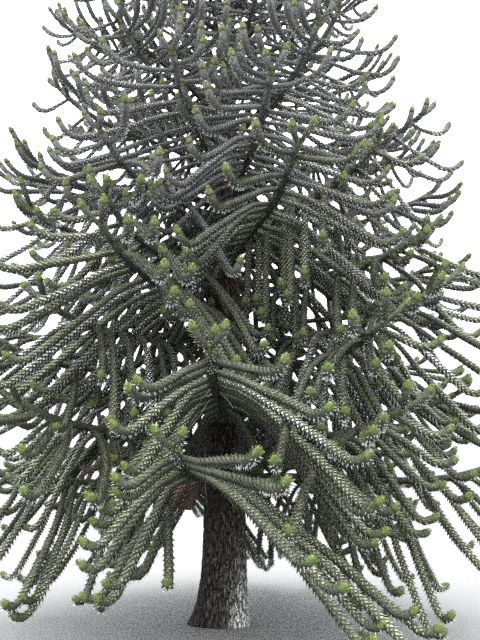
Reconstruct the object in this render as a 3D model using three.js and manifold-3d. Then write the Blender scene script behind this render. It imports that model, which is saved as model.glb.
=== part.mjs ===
// Monkey puzzle tree, in millimetres, +Z up, origin at the middle of the flat cut at ground level.
// A straight trunk carries whorls of boughs. Each bough carries pairs of long shoots clothed in
// stiff pointed leaves. Low on the tree the shoots hang like curtains; high up they lift.
// Azimuths are measured from -Y, which is the front of the tree, towards +X.
import * as THREE from "three";
import { mergeVertices } from "three/addons/utils/BufferGeometryUtils.js";
import Module from "manifold-3d";

const wasm = await Module();
wasm.setup();

// Trunk
const TRUNK_TOP = 10500;
const TRUNK_RADIUS = 270;
const TRUNK_TIP_RADIUS = 16;
const TRUNK_VANISH_HEIGHT = 10900; // where its taper would end in a point
const TRUNK_TAPER_POWER = 1.15;
const FLARE_RADIUS = 28;
const FLARE_HEIGHT = 170;
const BUTTRESS_HEIGHT = 260;
const BUTTRESSES = [
  { azimuth: -90, reach: 120, sharpness: 3 },
  { azimuth: 40, reach: 45, sharpness: 5 },
  { azimuth: 160, reach: 70, sharpness: 4 },
];
const TRUNK_SIDES = 16;
const TRUNK_RINGS = 18;
const TRUNK_RING_POWER = 1.9; // rings stand closer together towards the foot

// The leader that carries the trunk on, with a ring of short shoots round its foot
const LEADER_LENGTH = 470;
const LEADER_ROOT_RADIUS = 26;
const LEADER_SHOOTS = 5;
const LEADER_SHOOT_LENGTH = 430;
const LEADER_SHOOTS_START = 90;
const LEADER_SHOOT_ELEVATIONS = [5, 70];

// Crown: how far it reaches from the trunk's middle against height
const CROWN_REACH = 3080;
const CROWN_WIDEST = 2500;
const CROWN_TOP = 11000;
const CROWN_FALL = 1.3;
const CROWN_ROUNDNESS = 2.1;

// Whorls of boughs, from the lowest up. A turn is the azimuth of the whorl's first bough.
const FIRST_WHORL = 1500;
const WHORL_STEP = 365;
const BOUGHS_IN_WHORL = 5;
const WHORL_TURNS = [
  -6, 33, -1, 30, 42, -20, -22, 14, -26, 10, -11, 22, 30, -35, 12, -8, 42, 15, -28, 5, 38, -18, 26, -5,
];
const HEIGHT_VARIES = 90;
const AZIMUTH_VARIES = 13;
const REACH_VARIES = 0.12;
const RISE_VARIES = 0.06;
const TIP_ABOVE_ROOT = 350; // at the top of the tree, where the crown's reach is read for a bough

// Thinning: of all the boughs, the solids keep those that stand this far apart
const APART_IN_HEIGHT = 730;
const APART_IN_AZIMUTH = 66;

// A bough's line, as shares of its reach. LOW is for the lowest boughs and TOP for the highest.
const BOUGH_SLOPE_LOW = 0.14; // as it leaves the trunk
const BOUGH_SLOPE_TOP = 0.62;
const TIP_LIFT_LOW = 0.14; // how far the last part curls up above the sagging line
const TIP_LIFT_TOP = 0.27;
const TIP_LIFT_POWER = 5;
const TIP_RISE_LOW = 0.09; // the tip above the root
const TIP_RISE_TOP = 0.6;
const TIP_RISE_POWER = 1.8;
const BOUGH_ROLL = 11; // degrees by which one side of a bough may hang lower than the other
const FRONT_ROLLS = { 0: 1, 2: 0.6 }; // the shares of it on the two lowest front boughs, by whorl
const ROLL_LENGTH = 0.022; // per degree of roll, how much longer the higher side's shoots are

// Limbs: the bare inner parts of the lower boughs
const OWN_LIMB_BELOW = 4600; // a bough that starts higher is foliage right up to the trunk
const LIMB_STARTS_AT = 0.02; // share of the bough's reach, inside the trunk before it is cut
const LIMB_ENDS_AT = 0.24;
const LIMB_ROOT_RADIUS = 44;
const LIMB_END_RADIUS = 30;
const LIMB_STEPS = 4;
const LIMB_SIDES = 6;

// Side shoots
const SHOOTS_START_AT = 0.3; // share of the bough's reach
const SHOOTS_END_AT = 0.97;
const SHOOT_PAIR_STEP = 200; // between neighbouring pairs along a bough
const SHOOTS_KEPT_EVERY = 3; // the solids keep one in this many on each side
const LONGEST_SHOOT_LOW = 1900;
const LONGEST_SHOOT_TOP = 420;
const SHORTEST_SHOOT = 170;
const LENGTH_VARIES = 0.12;
const LENGTH_TRIES = [1, 0.85, 0.7, 0.5]; // a shoot that would leave its space is tried shorter
const HANG_LOW = -47; // elevation of a shoot's middle
const HANG_TOP = 6;
const HANG_VARIES = 7;
const HANG_INNER = 1.08; // how much of its hang a shoot has on the inner part of its bough
const HANG_NEAR_TIP = 0.1; // and at the bough's tip
const HANG_EASES_AT = 0.6; // the share of the bough's reach where the change starts
const TIP_ELEVATION_LOW = 46;
const TIP_ELEVATION_TOP = 70;
const TIP_ELEVATION_VARIES = 12;
const TIP_BEND_LENGTH_LOW = 300;
const TIP_BEND_LENGTH_TOP = 550;
const LONGEST_BEND = 0.6; // share of a shoot's length
const ROOT_ELEVATION_LOW = -16;
const ROOT_ELEVATION_TOP = -4;
const SPREAD = 80; // the angle at which a shoot leaves its bough
const SPREAD_NEAR_TIP = 62;
const SPREAD_VARIES = 6;
const SWING_FORWARD = 34;
const SHOOT_RADIUS = 64;
const SHOOT_ROOT_RADIUS = 16;
const SHOOT_TIP_SHARE = 0.85;
const BUD_SHARE = 0.5;
const STEM_RADIUS = 46;
const STEM_ROOT_RADIUS = 34;
const LEAF_RING_STEP = 430;
const LEAF_RING_POWER = 1.5; // rings stand closer together towards a shoot's root
const STEM_POINTS = 60;

const FINE_STEP = 40; // along a line as it grows
const GAP = 0.3; // between pieces that meet
const CLEARANCE = 8; // between shoots of neighbouring masses
const LOWEST_TIP = 120; // above the ground
const CELL = 220; // of the grid in which lines look for their neighbours

const BARK = new THREE.MeshStandardMaterial({ color: 0x4a423a, roughness: 0.95, metalness: 0 });
const LIMB_BARK = new THREE.MeshStandardMaterial({ color: 0x42382f, roughness: 0.95, metalness: 0 });
const FOLIAGE = new THREE.MeshStandardMaterial({ color: 0x3b4a33, roughness: 0.7, metalness: 0 });

const radians = (degrees) => (degrees * Math.PI) / 180;
const mix = (a, b, share) => a + (b - a) * share;

// 0 below low, 1 above high, and a smooth curve between
function smooth(low, high, value) {
  const share = Math.min(1, Math.max(0, (value - low) / (high - low)));
  return share * share * (3 - 2 * share);
}

// A seeded number from 0 to 1 for three whole numbers
function chance(a, b, c) {
  const x = Math.sin(a * 127.1 + b * 311.7 + c * 74.7) * 43758.5453;
  return x - Math.floor(x);
}

// A seeded number from -1 to 1
const swing = (a, b, c) => 2 * chance(a, b, c) - 1;

// The level direction of an azimuth
const outward = (azimuth) => new THREE.Vector3(Math.sin(radians(azimuth)), -Math.cos(radians(azimuth)), 0);

function trunkRadius(z) {
  const taper = 1 - Math.pow(z / TRUNK_VANISH_HEIGHT, TRUNK_TAPER_POWER);
  return Math.max(TRUNK_TIP_RADIUS, TRUNK_RADIUS * taper) + FLARE_RADIUS * Math.exp(-z / FLARE_HEIGHT);
}

function crownReach(z) {
  const share = Math.min(1, Math.max(0, (z - CROWN_WIDEST) / (CROWN_TOP - CROWN_WIDEST)));
  return CROWN_REACH * Math.pow(1 - Math.pow(share, CROWN_FALL), 1 / CROWN_ROUNDNESS);
}

// A closed solid through rings of equally many points, with its two ends capped by fans
function loft(rings) {
  const sides = rings[0].length;
  const positions = rings.flat().flatMap((p) => [p.x, p.y, p.z]);
  const faces = [];
  for (let r = 0; r + 1 < rings.length; r++) {
    for (let k = 0; k < sides; k++) {
      const a = r * sides + k;
      const b = r * sides + ((k + 1) % sides);
      faces.push(a, b, b + sides, a, b + sides, a + sides);
    }
  }
  const last = (rings.length - 1) * sides;
  for (let k = 1; k + 1 < sides; k++) {
    faces.push(0, k + 1, k);
    faces.push(last, last + k, last + k + 1);
  }
  const geometry = new THREE.BufferGeometry();
  geometry.setAttribute("position", new THREE.Float32BufferAttribute(positions, 3));
  geometry.setIndex(faces);
  return geometry;
}

function toSolid(geometry) {
  const bare = geometry.clone();
  bare.deleteAttribute("normal");
  bare.deleteAttribute("uv");
  const merged = mergeVertices(bare, 1e-3);
  return new wasm.Manifold(
    new wasm.Mesh({
      numProp: 3,
      vertProperties: merged.attributes.position.array,
      triVerts: new Uint32Array(merged.index.array),
    }),
  );
}

function toGeometry(solid) {
  const mesh = solid.getMesh();
  const positions = new Float32Array(mesh.numVert * 3);
  for (let i = 0; i < mesh.numVert; i++) {
    positions.set(mesh.vertProperties.subarray(i * mesh.numProp, i * mesh.numProp + 3), i * 3);
  }
  const geometry = new THREE.BufferGeometry();
  geometry.setAttribute("position", new THREE.BufferAttribute(positions, 3));
  geometry.setIndex(new THREE.BufferAttribute(mesh.triVerts, 1));
  geometry.computeVertexNormals();
  return geometry;
}

// Across and upright directions at right angles to a line's direction
function frameOf(direction) {
  const across = new THREE.Vector3(0, 0, 1).cross(direction);
  if (across.lengthSq() < 1e-6) across.set(1, 0, 0);
  across.normalize();
  const upright = new THREE.Vector3().crossVectors(direction, across).normalize();
  return { across, upright };
}

// Points of a ring of a given radius round a line
function ring(centre, direction, radius, sides, turn) {
  const { across, upright } = frameOf(direction);
  return Array.from({ length: sides }, (_, k) => {
    const angle = (2 * Math.PI * k) / sides + turn;
    return centre
      .clone()
      .addScaledVector(across, radius * Math.cos(angle))
      .addScaledVector(upright, radius * Math.sin(angle));
  });
}

// The directions of a line of points at each of them. The first or the last can be given.
function directionsOf(line, { first, last } = {}) {
  const directions = line.map((_, i) => {
    const before = line[Math.max(0, i - 1)];
    const after = line[Math.min(line.length - 1, i + 1)];
    return new THREE.Vector3().subVectors(after, before).normalize();
  });
  if (first) directions[0] = first;
  if (last) directions[line.length - 1] = last;
  return directions;
}

// A round tapering limb along a line
function limbGeometry(line, radiusAt, ends) {
  const directions = directionsOf(line, ends);
  return loft(line.map((p, i) => ring(p, directions[i], radiusAt(i / (line.length - 1)), LIMB_SIDES, 0)));
}

// A shoot clothed in leaves: three leaf points stand out at each ring, and each ring is turned by
// half a leaf against the one before, as leaves in a spiral are. It ends in a blunt bud.
function shootGeometry(line, radiusAt, ends) {
  const directions = directionsOf(line, ends);
  const end = line.length - 1;
  const rings = line.map((p, i) => ring(p, directions[i], radiusAt(i / end), 3, (i * Math.PI) / 3));
  const bud = line[end].clone().addScaledVector(directions[end], SHOOT_RADIUS * BUD_SHARE);
  const positions = [...rings.flat(), bud].flatMap((p) => [p.x, p.y, p.z]);
  const faces = [0, 2, 1];
  for (let r = 0; r < end; r++) {
    for (let k = 0; k < 3; k++) {
      const next = (k + 1) % 3;
      const low = r * 3;
      const high = low + 3;
      faces.push(low + k, low + next, high + k);
      faces.push(low + next, high + next, high + k);
    }
  }
  for (let k = 0; k < 3; k++) faces.push(end * 3 + k, end * 3 + ((k + 1) % 3), rings.length * 3);
  const geometry = new THREE.BufferGeometry();
  geometry.setAttribute("position", new THREE.Float32BufferAttribute(positions, 3));
  geometry.setIndex(faces);
  return geometry;
}

// The trunk, with its flare and buttresses, from the flat cut at the ground to its tip. The same
// form grown a little is what pieces that meet the trunk are cut with.
function trunkGeometry(growth = 0) {
  const rings = [];
  for (let r = 0; r <= TRUNK_RINGS; r++) {
    const z = TRUNK_TOP * Math.pow(r / TRUNK_RINGS, TRUNK_RING_POWER);
    const points = Array.from({ length: TRUNK_SIDES }, (_, k) => {
      const angle = (360 * k) / TRUNK_SIDES - 180;
      let radius = trunkRadius(z);
      for (const { azimuth, reach, sharpness } of BUTTRESSES) {
        const facing = Math.max(0, Math.cos(radians(angle - azimuth)));
        radius += reach * Math.pow(facing, sharpness) * Math.exp(-z / BUTTRESS_HEIGHT);
      }
      return outward(angle).multiplyScalar(radius + growth).setZ(r === TRUNK_RINGS ? z + growth : z);
    });
    rings.push(points);
  }
  return loft(rings);
}

// Every bough of the tree: where it leaves the trunk, which way it points, how far it reaches and
// how it bends. The first bough of a whorl stands exactly at the whorl's height and turn.
function allBoughs() {
  const boughs = [];
  WHORL_TURNS.forEach((turn, whorl) => {
    const height = FIRST_WHORL + whorl * WHORL_STEP;
    const level = (height - FIRST_WHORL) / (CROWN_TOP - FIRST_WHORL);
    const reach = crownReach(height + TIP_ABOVE_ROOT * level);
    const rise = mix(TIP_RISE_LOW, TIP_RISE_TOP, Math.pow(level, TIP_RISE_POWER));
    for (let place = 0; place < BOUGHS_IN_WHORL; place++) {
      const varies = place === 0 ? 0 : 1;
      const front = place === 0 && whorl in FRONT_ROLLS;
      boughs.push({
        whorl,
        place,
        level,
        height: height + varies * HEIGHT_VARIES * swing(whorl, place, 1),
        azimuth: turn + (360 / BOUGHS_IN_WHORL) * place + varies * AZIMUTH_VARIES * swing(whorl, place, 2),
        reach: reach * (1 - varies * REACH_VARIES * chance(whorl, place, 3)),
        rise: rise + varies * RISE_VARIES * swing(whorl, place, 4),
        slope: mix(BOUGH_SLOPE_LOW, BOUGH_SLOPE_TOP, level),
        lift: mix(TIP_LIFT_LOW, TIP_LIFT_TOP, smooth(0, 0.4, level)),
        roll: BOUGH_ROLL * (front ? FRONT_ROLLS[whorl] : swing(whorl, place, 5)),
      });
    }
  });
  return boughs;
}

// A point of a bough's line, from share 0 at the trunk to share 1 at its tip
function boughPoint(bough, share) {
  const { reach, slope, lift, rise } = bough;
  const sag = slope + lift - rise;
  const above = slope * share - sag * share * share + lift * Math.pow(share, TIP_LIFT_POWER);
  return outward(bough.azimuth)
    .multiplyScalar(reach * share)
    .setZ(bough.height + reach * above);
}

function boughDirection(bough, share) {
  return boughPoint(bough, share + 0.001).sub(boughPoint(bough, share - 0.001)).normalize();
}

// The part of a bough's line between two shares
function boughLine(bough, from, to, count) {
  return Array.from({ length: count + 1 }, (_, i) => boughPoint(bough, mix(from, to, i / count)));
}

// How long a shoot is for its place on the bough: short at the inner end, longest at the middle,
// and short again at the tip
function lengthProfile(share) {
  const outer = Math.max(0, 2 * share - 1);
  const inner = Math.max(0, 1 - 2 * share);
  return (1 - 0.75 * outer * outer) * (1 - 0.9 * inner * inner);
}

// The side shoots of a bough, from its inner end out: where each starts, to which side, and how
// long it grows. Each has a seed of its own.
function sideShoots(bough) {
  const shoots = [];
  const leafyLength = bough.reach * (1 - SHOOTS_START_AT);
  const pairs = Math.round(leafyLength / SHOOT_PAIR_STEP);
  const longest = mix(LONGEST_SHOOT_LOW, LONGEST_SHOOT_TOP, smooth(0.08, 1, bough.level));
  for (let pair = 0; pair < pairs; pair++) {
    for (const side of [-1, 1]) {
      const seed = 20 + 2 * pair + (side > 0 ? 1 : 0);
      const along = (pair + 0.5 + 0.25 * swing(bough.whorl, bough.place, seed)) / pairs;
      const share = mix(SHOOTS_START_AT, SHOOTS_END_AT, along);
      const varied = 1 + LENGTH_VARIES * swing(bough.whorl, bough.place, seed + 60);
      const rolled = ROLL_LENGTH * side * bough.roll;
      const length = longest * lengthProfile(share) * (varied + rolled);
      shoots.push({ pair, side, share, seed, length });
    }
  }
  return shoots;
}

// A line grown from a point in small steps, whose azimuth and elevation follow its share of the way
function grow(from, length, azimuthAt, elevationAt) {
  const steps = Math.ceil(length / FINE_STEP);
  const point = from.clone();
  const line = [point.clone()];
  for (let i = 0; i < steps; i++) {
    const share = (i + 0.5) / steps;
    const elevation = radians(elevationAt(share));
    point.addScaledVector(outward(azimuthAt(share)), (length / steps) * Math.cos(elevation));
    point.z += (length / steps) * Math.sin(elevation);
    line.push(point.clone());
  }
  return line;
}

// The share of a shoot's length in which it turns up at its tip
function bendShare(length, level) {
  const bend = mix(TIP_BEND_LENGTH_LOW, TIP_BEND_LENGTH_TOP, smooth(0.1, 0.6, level));
  return Math.min(LONGEST_BEND, bend / length);
}

// The line of a side shoot. It leaves the bough sideways, droops or lifts by its place on the
// tree, swings forward, and turns up at its tip.
function shootLine(bough, shoot, length) {
  const { whorl, place, level } = bough;
  const hang = mix(HANG_LOW, HANG_TOP, smooth(0.15, 0.85, level));
  const outer = Math.max(0, (shoot.share - HANG_EASES_AT) / (1 - HANG_EASES_AT));
  const hangHere = hang * mix(HANG_INNER, HANG_NEAR_TIP, outer * outer) + shoot.side * bough.roll;
  const middle = hangHere + HANG_VARIES * swing(whorl, place, shoot.seed + 120);
  const tip =
    mix(TIP_ELEVATION_LOW, TIP_ELEVATION_TOP, smooth(0, 0.7, level)) +
    TIP_ELEVATION_VARIES * swing(whorl, place, shoot.seed + 180);
  const root = mix(ROOT_ELEVATION_LOW, ROOT_ELEVATION_TOP, level);
  const spread =
    mix(SPREAD, SPREAD_NEAR_TIP, smooth(0.6, 1, shoot.share)) +
    SPREAD_VARIES * swing(whorl, place, shoot.seed + 240);
  const bend = bendShare(length, level);
  return grow(
    boughPoint(bough, shoot.share),
    length,
    (share) => bough.azimuth + shoot.side * (spread - SWING_FORWARD * share),
    (share) => mix(mix(root, middle, smooth(0, 0.32, share)), tip, smooth(1 - bend, 1, share)),
  );
}

// The point of a fine line at a share of its way
function pointOf(line, share) {
  const place = share * (line.length - 1);
  const low = Math.min(line.length - 2, Math.floor(place));
  return line[low].clone().lerp(line[low + 1], place - low);
}

// Thins a fine line to rings about a step apart, with two more in the last part, which bends
function ringsOf(line, length, step, level = 0) {
  const bend = 1 - bendShare(length, level);
  const count = Math.max(2, Math.round((length * bend) / step));
  const shares = Array.from({ length: count + 1 }, (_, i) => bend * Math.pow(i / count, LEAF_RING_POWER));
  shares.push(mix(bend, 1, 0.5), 1);
  return shares.map((share) => pointOf(line, share));
}

// Boughs far enough from each other for the solids, the front one of each whorl first
function thinned(boughs) {
  const kept = [];
  const order = [...boughs].sort((a, b) => (a.place > 0) - (b.place > 0) || a.whorl - b.whorl);
  for (const bough of order) {
    const clear = kept.every((other) => {
      const turn = ((((bough.azimuth - other.azimuth) % 360) + 540) % 360) - 180;
      return Math.hypot((bough.height - other.height) / APART_IN_HEIGHT, turn / APART_IN_AZIMUTH) > 1;
    });
    if (clear) kept.push(bough);
  }
  return kept.sort((a, b) => a.height - b.height);
}

// What already fills space: balls along every line, each with its owner, by cells of a grid
const cells = new Map();
const cellOf = (point) => [point.x, point.y, point.z].map((value) => Math.floor(value / CELL));

function fill(line, radius, owner) {
  for (const point of line) {
    const key = cellOf(point).join();
    if (!cells.has(key)) cells.set(key, []);
    cells.get(key).push({ point, radius, owner });
  }
}

// The balls in a point's cell and in the 26 round it
function ballsNear(point) {
  const [x, y, z] = cellOf(point);
  const steps = [-1, 0, 1];
  return steps.flatMap((dx) =>
    steps.flatMap((dy) => steps.flatMap((dz) => cells.get([x + dx, y + dy, z + dz].join()) ?? [])),
  );
}

// Whether a shoot's line, but for its root, stays clear of the ground, of the trunk and of every
// line that another owner filled
function isFree(line, radius, owner) {
  const rootPoints = 2;
  return line.slice(rootPoints).every((point) => {
    if (point.z < LOWEST_TIP + radius) return false;
    if (Math.hypot(point.x, point.y) < trunkRadius(point.z) + radius + CLEARANCE) return false;
    return ballsNear(point).every(
      (ball) => ball.owner === owner || ball.point.distanceTo(point) > ball.radius + radius + CLEARANCE,
    );
  });
}

function lineLength(line) {
  return line.slice(1).reduce((length, point, i) => length + point.distanceTo(line[i]), 0);
}

const stemRadius = (share) => mix(STEM_ROOT_RADIUS, SHOOT_RADIUS, smooth(0.5, 1, share));

function shootRadius(share) {
  const swelling = mix(SHOOT_ROOT_RADIUS, SHOOT_RADIUS, smooth(0, 0.2, share));
  return swelling * mix(1, SHOOT_TIP_SHARE, smooth(0.9, 1, share));
}

// The stem of a bough's foliage, out to the bough's tip
function stemGeometry(bough) {
  const from = bough.hasLimb ? LIMB_ENDS_AT : LIMB_STARTS_AT;
  const line = boughLine(bough, from, 1, STEM_POINTS);
  const ends = { first: boughDirection(bough, from) };
  return shootGeometry(ringsOf(line, lineLength(line), LEAF_RING_STEP), stemRadius, ends);
}

// The longest shoot of a side shoot's kind that stays in its own space, or nothing
function fittedShoot(bough, shoot) {
  for (const lengthShare of LENGTH_TRIES) {
    const length = shoot.length * lengthShare;
    const line = shootLine(bough, shoot, length);
    if (length > SHORTEST_SHOOT && isFree(line, SHOOT_RADIUS, bough)) {
      fill(line, SHOOT_RADIUS, bough);
      return shootGeometry(ringsOf(line, length, LEAF_RING_STEP, bough.level), shootRadius);
    }
  }
  return undefined;
}

// The bare inner part of a bough, out to where its foliage starts
function limbSolid(bough) {
  const last = boughDirection(bough, LIMB_ENDS_AT);
  const line = boughLine(bough, LIMB_STARTS_AT, LIMB_ENDS_AT, LIMB_STEPS);
  line[LIMB_STEPS].addScaledVector(last, -GAP);
  const limb = limbGeometry(line, (share) => mix(LIMB_ROOT_RADIUS, LIMB_END_RADIUS, share), { last });
  return toSolid(limb).subtract(grownTrunk);
}

// The leader stands on the trunk's tip, and its shoots lift round it
function leaderSolid() {
  const foot = new THREE.Vector3(0, 0, TRUNK_TOP + GAP);
  const line = grow(foot, LEADER_LENGTH, () => 0, () => 90);
  const radiusAt = (share) => mix(LEADER_ROOT_RADIUS, SHOOT_RADIUS, smooth(0, 0.6, share));
  const shoots = [shootGeometry(ringsOf(line, LEADER_LENGTH, LEAF_RING_STEP), radiusAt)];
  const root = new THREE.Vector3(0, 0, TRUNK_TOP + LEADER_SHOOTS_START);
  for (let k = 0; k < LEADER_SHOOTS; k++) {
    const azimuth = (360 / LEADER_SHOOTS) * (k + 0.5);
    const elevationAt = (share) => mix(...LEADER_SHOOT_ELEVATIONS, share);
    const side = grow(root, LEADER_SHOOT_LENGTH, () => azimuth, elevationAt);
    shoots.push(shootGeometry(ringsOf(side, LEADER_SHOOT_LENGTH, LEAF_RING_STEP), shootRadius));
  }
  return wasm.Manifold.union(shoots.map(toSolid));
}

const tree = new THREE.Group();

function addMesh(name, solid, material) {
  const mesh = new THREE.Mesh(toGeometry(solid), material);
  mesh.name = name;
  tree.add(mesh);
}

const grownTrunk = toSolid(trunkGeometry(GAP));
addMesh("trunk", toSolid(trunkGeometry()), BARK);

const boughs = thinned(allBoughs());
boughs.forEach((bough, i) => {
  bough.name = String(i + 1).padStart(2, "0");
  bough.hasLimb = bough.height < OWN_LIMB_BELOW;
  bough.sprays = [stemGeometry(bough)];
  bough.waiting = sideShoots(bough).filter((s) => (s.pair + (s.side > 0)) % SHOOTS_KEPT_EVERY === 1);
  fill(boughLine(bough, 0, 1, Math.round(bough.reach / FINE_STEP)), STEM_RADIUS, bough);
});

// The boughs take turns, each with its outermost waiting shoot, so that none takes all the space
while (boughs.some((bough) => bough.waiting.length)) {
  for (const bough of boughs.filter((b) => b.waiting.length)) {
    const spray = fittedShoot(bough, bough.waiting.pop());
    if (spray) bough.sprays.push(spray);
  }
}

for (const bough of boughs) {
  const mass = wasm.Manifold.union(bough.sprays.map(toSolid));
  if (bough.hasLimb) addMesh(`bough_${bough.name}`, limbSolid(bough), LIMB_BARK);
  addMesh(`foliage_${bough.name}`, bough.hasLimb ? mass : mass.subtract(grownTrunk), FOLIAGE);
}
addMesh("foliage_top", leaderSolid(), FOLIAGE);

export default tree;
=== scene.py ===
# The looks of a monkey puzzle tree, in metres, +Z up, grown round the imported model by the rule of
# its source. Azimuths are in degrees from -Y, the front of the tree, towards +X. A level is a place
# in the crown, from 0 at the lowest whorl to 1 at the top, and a pair of levels is a stretch over
# which a change sets in.
import math
from dataclasses import dataclass, field

import bpy
import numpy as np
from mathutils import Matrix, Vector


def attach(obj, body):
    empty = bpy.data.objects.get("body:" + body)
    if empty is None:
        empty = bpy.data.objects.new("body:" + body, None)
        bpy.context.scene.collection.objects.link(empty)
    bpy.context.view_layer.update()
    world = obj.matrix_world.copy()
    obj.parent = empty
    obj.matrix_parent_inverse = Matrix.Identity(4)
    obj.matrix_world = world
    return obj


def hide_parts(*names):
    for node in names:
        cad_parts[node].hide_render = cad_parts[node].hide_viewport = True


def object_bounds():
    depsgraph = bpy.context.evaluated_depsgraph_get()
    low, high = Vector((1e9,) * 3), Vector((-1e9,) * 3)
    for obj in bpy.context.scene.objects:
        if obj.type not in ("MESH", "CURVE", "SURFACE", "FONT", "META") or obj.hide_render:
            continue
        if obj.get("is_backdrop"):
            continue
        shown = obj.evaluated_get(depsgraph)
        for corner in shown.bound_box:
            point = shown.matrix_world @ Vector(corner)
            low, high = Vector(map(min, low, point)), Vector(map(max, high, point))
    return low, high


# Trunk
TRUNK_TOP = 10.5
TRUNK_RADIUS = 0.27
TRUNK_TIP_RADIUS = 0.016
TRUNK_VANISH_HEIGHT = 10.9
TRUNK_TAPER_POWER = 1.15
FLARE_RADIUS = 0.028
FLARE_HEIGHT = 0.17
BUTTRESS_HEIGHT = 0.26
BUTTRESSES = [(-90, 0.12, 3), (40, 0.045, 5), (160, 0.07, 4)]  # azimuth, reach, sharpness
TRUNK_CLEARANCE = 0.07  # between the trunk's bark and a shoot's line

# The trunk's bark
TRUNK_FINE_BELOW = 1.9
TRUNK_FINE_SIDES = 136
TRUNK_FINE_STEP = 0.014
TRUNK_COARSE_STEP = 0.07
OLD_BARK_FADES = (1.6, 5.0)  # heights
FISSURE_DEPTH = 0.014
YOUNG_FISSURES = 0.25  # their depth high up, as a share of that
PLATE_WIDTH = 0.036
PLATE_HEIGHT = 0.10
PLATE_JITTER = 0.42
PLATE_KEYS = (269.5, 183.3, 91.3, 24634.6345)
FISSURE_EDGES = (0.02, 0.30)
BULGE_DEPTH = 0.010
GRAIN_DEPTH = 0.004
SCAR_STEP = 0.055
SCAR_DEPTH = 0.0035
FULL_RELIEF_RADIUS = 0.1
BARK_STRETCH = 0.2
OLD_BARK_COLOURS = [
    (0.30, (0.012, 0.010, 0.008)), (0.52, (0.060, 0.051, 0.043)), (0.72, (0.20, 0.18, 0.155)),
]
YOUNG_BARK_COLOURS = [
    (0.30, (0.030, 0.020, 0.017)), (0.55, (0.095, 0.058, 0.048)), (0.75, (0.19, 0.135, 0.115)),
]
YOUNG_BARK_HEIGHTS = (2.6, 5.5)
PAINTED_SHADE_UNDER_BOUGHS = (0.8, 1.7, 1.0, 0.45)  # two heights, and how bright the bark is there: painted shade under the boughs
PAINTED_SIDE_SHADE = (-0.24, 0.16, 0.45, 1.25)  # the same across the trunk: painted shade on the left, painted light on the right
PAINTED_CRACK_SHADE = (0.02, 0.22, 0.12, 1.45)  # and inwards from a crack: painted shade in the cracks, painted light on the plates
LICHEN_COLOUR = (0.40, 0.41, 0.38, 1)
LICHEN_HEIGHTS = (1.0, 0.1)
LICHEN_RIGHT = (-0.05, 0.2)
LICHEN_LEAN = 0.42  # how much more there is low on the right
LICHEN_EDGES = (0.62, 0.86, 0.0, 0.9)

# Leader
LEADER_LENGTH = 0.47
LEADER_SHOOTS = 5
LEADER_SHOOT_LENGTH = 0.43
LEADER_SHOOTS_START = 0.09
LEADER_SHOOT_ELEVATIONS = (5, 70)

# Crown
CROWN_REACH = 3.08
CROWN_WIDEST = 2.5
CROWN_TOP = 11.0
CROWN_FALL = 1.3
CROWN_ROUNDNESS = 2.1

# Whorls of boughs
FIRST_WHORL = 1.5
WHORL_STEP = 0.365
BOUGHS_IN_WHORL = 5
WHORL_TURNS = [
    -6, 33, -1, 30, 42, -20, -22, 14, -26, 10, -11, 22, 30, -35, 12, -8, 42, 15, -28, 5, 38, -18, 26, -5,
]
HEIGHT_VARIES = 0.09
AZIMUTH_VARIES = 13
REACH_VARIES = 0.12
RISE_VARIES = 0.06
TIP_ABOVE_ROOT = 0.35

# Which boughs the solids keep
APART_IN_HEIGHT = 0.73
APART_IN_AZIMUTH = 66
OWN_LIMB_BELOW = 4.6

# A bough's line, as shares of its reach
BOUGH_SLOPE_LOW = 0.14
BOUGH_SLOPE_TOP = 0.62
TIP_LIFT_LOW = 0.14
TIP_LIFT_TOP = 0.27
TIP_LIFT_LEVELS = (0, 0.4)
TIP_LIFT_POWER = 5
TIP_RISE_LOW = 0.09
TIP_RISE_TOP = 0.6
TIP_RISE_POWER = 1.8
BOUGH_ROLL = 11
FRONT_ROLLS = {0: 1, 2: 0.6}
ROLL_LENGTH = 0.022

# Side shoots
SHOOTS_START_AT = 0.3
SHOOTS_END_AT = 0.97
SHOOT_PAIR_STEP = 0.2
LONGEST_SHOOT_LOW = 1.9
LONGEST_SHOOT_TOP = 0.42
SHORTER_LEVELS = (0.08, 1)
SHORTER_OUTWARD = 0.75
SHORTER_INWARD = 0.9
LENGTH_VARIES = 0.12
HANG_LOW = -47
HANG_TOP = 6
HANG_LEVELS = (0.15, 0.85)
HANG_VARIES = 7
HANG_INNER = 1.08
HANG_NEAR_TIP = 0.1
HANG_EASES_AT = 0.6
TIP_ELEVATION_LOW = 46
TIP_ELEVATION_TOP = 70
TIP_ELEVATION_LEVELS = (0, 0.7)
TIP_ELEVATION_VARIES = 12
TIP_BEND_LENGTH_LOW = 0.3
TIP_BEND_LENGTH_TOP = 0.55
TIP_BEND_LEVELS = (0.1, 0.6)
LONGEST_BEND = 0.6
ROOT_ELEVATION_LOW = -16
ROOT_ELEVATION_TOP = -4
ROOT_BEND = 0.32  # the share of a shoot over which it turns down
SPREAD = 80
SPREAD_NEAR_TIP = 62
SPREAD_NARROWS_AT = 0.6
SPREAD_VARIES = 6
SWING_FORWARD = 34
FINE_STEP = 0.04
LOWEST_TIP = 0.12
SHOOT_HALF_THICKNESS = 0.05

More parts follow.
